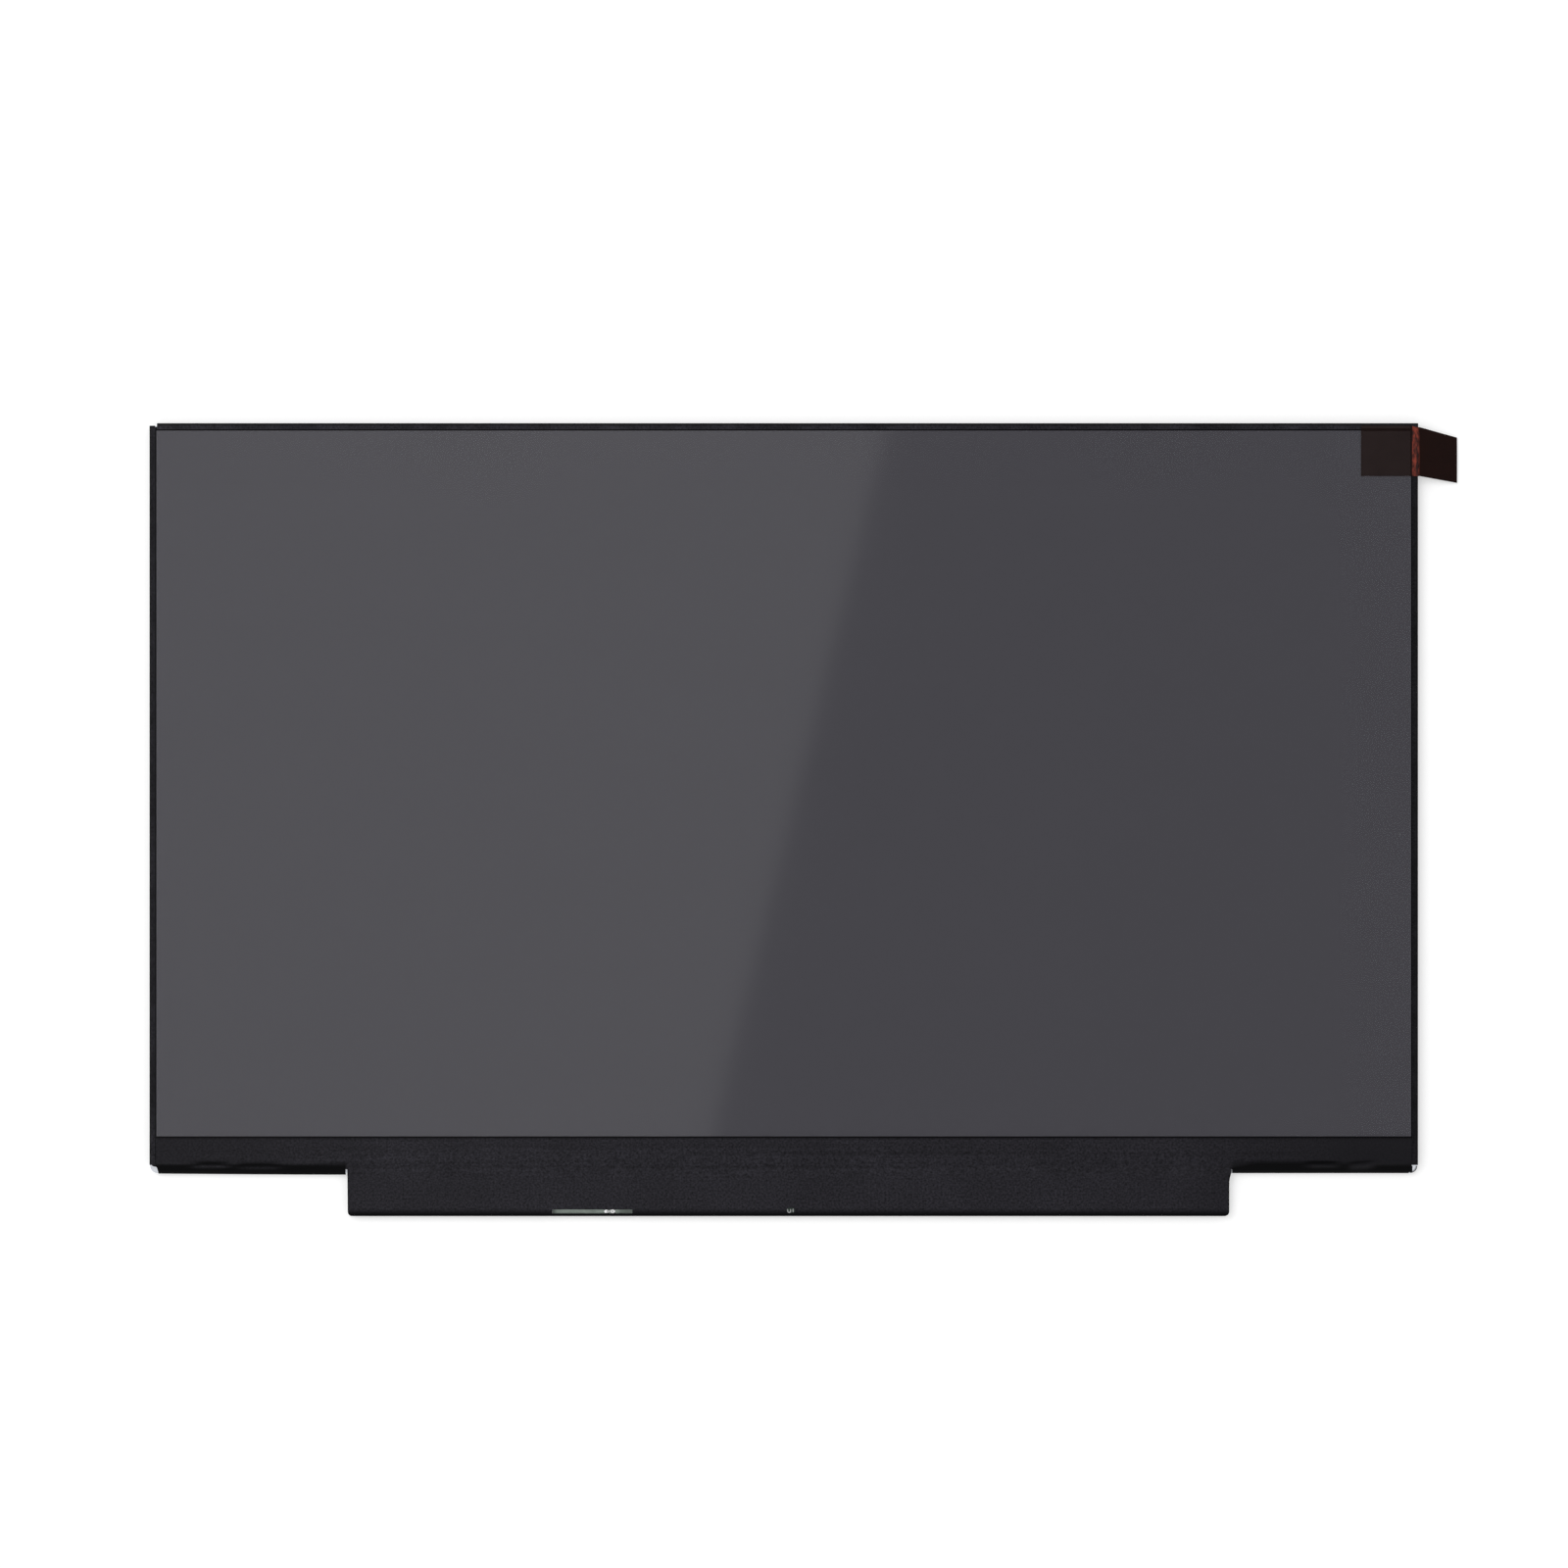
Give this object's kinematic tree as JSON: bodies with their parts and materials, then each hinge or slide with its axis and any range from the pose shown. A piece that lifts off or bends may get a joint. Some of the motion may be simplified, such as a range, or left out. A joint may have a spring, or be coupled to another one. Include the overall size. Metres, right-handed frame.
{
  "type": "laptop screen panel",
  "caption": "Slim flat laptop display module: dark grey screen in black edge tapes, taped control board strip below it, red-brown pull tab at the upper right corner.",
  "frame": {"origin": "on the rear plane, midway across and midway up the module's body without its board", "axes": "+X to the right of the screen, +Y to its top, +Z out of its front; it lies flat on its back"},
  "size_m": [0.3258, 0.1975, 0.0028],
  "materials": {
    "polarizer": "anti-glare satin",
    "film": "clear film",
    "glass": "polished",
    "black_tape": "fine satin",
    "pull_film": "glossy film",
    "white_sheet": "frosted",
    "light_guide": "clear acrylic",
    "reflector": "pearl white",
    "frame_plastic": "fine matt",
    "cover_metal": "rolled, satin",
    "flex": "white coverlay",
    "driver_film": "amber film",
    "lamp": "moulded",
    "board": "solder mask",
    "chip": "moulded black",
    "inductor": "pressed powder",
    "capacitor": "fired",
    "resistor": "coated",
    "shell_metal": "tinned",
    "socket_plastic": "moulded ivory",
    "contact_metal": "gold plated",
    "foil": "embossed foil"
  },
  "bodies": {
    "root": {"array_glass": "glass", "back_cover": "cover_metal", "backlight_lamps": "lamp", "boost_diode": "chip", "boost_inductor": "inductor", "bulk_capacitors": "capacitor", "capacitors": "capacitor", "colour_filter_glass": "glass", "control_board": "board", "driver_chip_1": "chip", "driver_chip_2": "chip", "driver_chip_3": "chip", "driver_chip_4": "chip", "driver_film_1": "driver_film", "driver_film_2": "driver_film", "driver_film_3": "driver_film", "driver_film_4": "driver_film", "edge_tape_left": "black_tape", "edge_tape_right": "black_tape", "edge_tape_top": "black_tape", "front_cover_tape": "black_tape", "front_polarizer": "polarizer", "ground_tape_left": "foil", "ground_tape_right": "foil", "lamp_driver_chip": "chip", "led_flex": "flex", "led_flex_tape": "black_tape", "light_guide": "light_guide", "lower_diffuser": "white_sheet", "lower_prism_sheet": "white_sheet", "memory_chip": "chip", "mould_frame": "frame_plastic", "power_chip": "chip", "power_inductor": "inductor", "protective_film": "film", "pull_tab": "pull_film", "rear_polarizer": "polarizer", "reflector": "reflector", "resistors": "resistor", "rim_tape": "black_tape", "socket_contacts": "contact_metal", "socket_housing": "socket_plastic", "socket_shell": "shell_metal", "test_pad": "shell_metal", "timing_chip": "chip", "upper_diffuser": "white_sheet", "upper_prism_sheet": "white_sheet"}
  },
  "joints": []
}
